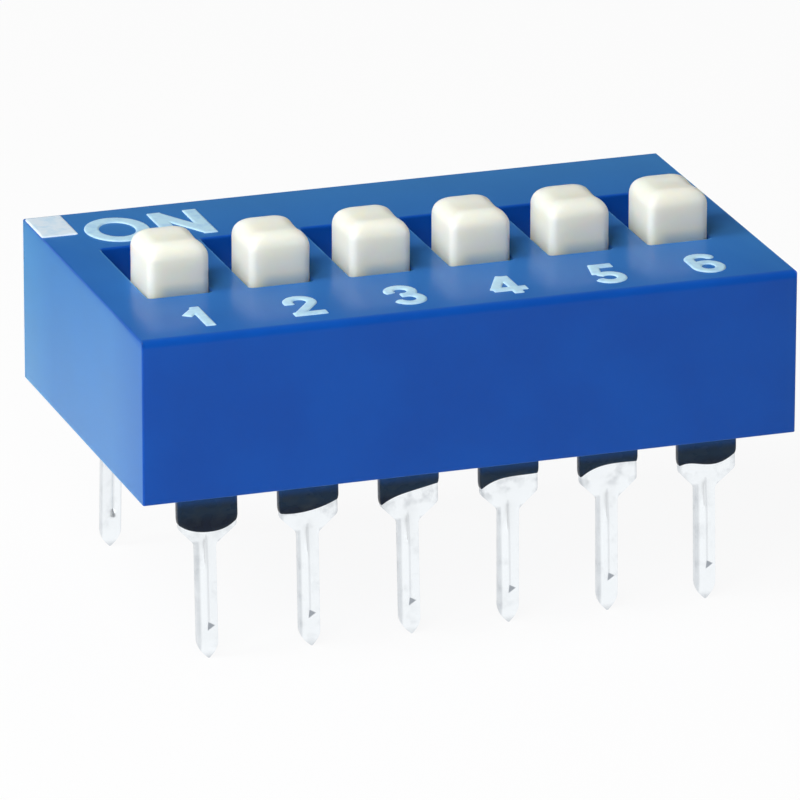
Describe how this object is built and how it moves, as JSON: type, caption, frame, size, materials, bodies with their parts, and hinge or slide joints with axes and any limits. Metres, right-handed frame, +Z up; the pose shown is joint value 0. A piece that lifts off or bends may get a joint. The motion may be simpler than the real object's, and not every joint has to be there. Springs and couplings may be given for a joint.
{
  "type": "dip switch",
  "caption": "Slide DIP switch: a blue housing with raised cream knobs that slide between OFF and ON, and two rows of stamped pins for a circuit board.",
  "frame": {"origin": "on the plane of the pin tips, below the centre of the housing", "axes": "+X along the row of positions from the first to the last, +Y towards the ON side, +Z up"},
  "size_m": [0.0164, 0.0098, 0.0097],
  "materials": {
    "blue_housing": "moulded polyester with a soft gloss",
    "white_ink": "pad-printed ink",
    "black_base": "glass-filled moulding",
    "black_resin": "glossy potting resin",
    "cream_knob": "moulded nylon, satin",
    "gilt_spring": "gold-plated spring strip",
    "tinned_pin": "bright tin plate"
  },
  "bodies": {
    "body": {"housing": "blue_housing", "print": "white_ink", "base": "black_base", "seal": "black_resin", "terminal_1": "tinned_pin", "terminal_2": "tinned_pin", "terminal_3": "tinned_pin", "terminal_4": "tinned_pin", "terminal_5": "tinned_pin", "terminal_6": "tinned_pin", "terminal_7": "tinned_pin", "terminal_8": "tinned_pin", "terminal_9": "tinned_pin", "terminal_10": "tinned_pin", "terminal_11": "tinned_pin", "terminal_12": "tinned_pin"},
    "slide_1": {"actuator_1": "cream_knob", "wiper_1": "gilt_spring"},
    "slide_2": {"actuator_2": "cream_knob", "wiper_2": "gilt_spring"},
    "slide_3": {"actuator_3": "cream_knob", "wiper_3": "gilt_spring"},
    "slide_4": {"actuator_4": "cream_knob", "wiper_4": "gilt_spring"},
    "slide_5": {"actuator_5": "cream_knob", "wiper_5": "gilt_spring"},
    "slide_6": {"actuator_6": "cream_knob", "wiper_6": "gilt_spring"}
  },
  "joints": [
    {"name": "switch_1", "type": "slide", "parent": "body", "child": "slide_1", "axis": [0, 1, 0], "range_m": [0, 0.0022]},
    {"name": "switch_2", "type": "slide", "parent": "body", "child": "slide_2", "axis": [0, 1, 0], "range_m": [0, 0.0022]},
    {"name": "switch_3", "type": "slide", "parent": "body", "child": "slide_3", "axis": [0, 1, 0], "range_m": [0, 0.0022]},
    {"name": "switch_4", "type": "slide", "parent": "body", "child": "slide_4", "axis": [0, 1, 0], "range_m": [0, 0.0022]},
    {"name": "switch_5", "type": "slide", "parent": "body", "child": "slide_5", "axis": [0, 1, 0], "range_m": [0, 0.0022]},
    {"name": "switch_6", "type": "slide", "parent": "body", "child": "slide_6", "axis": [0, 1, 0], "range_m": [0, 0.0022]}
  ]
}
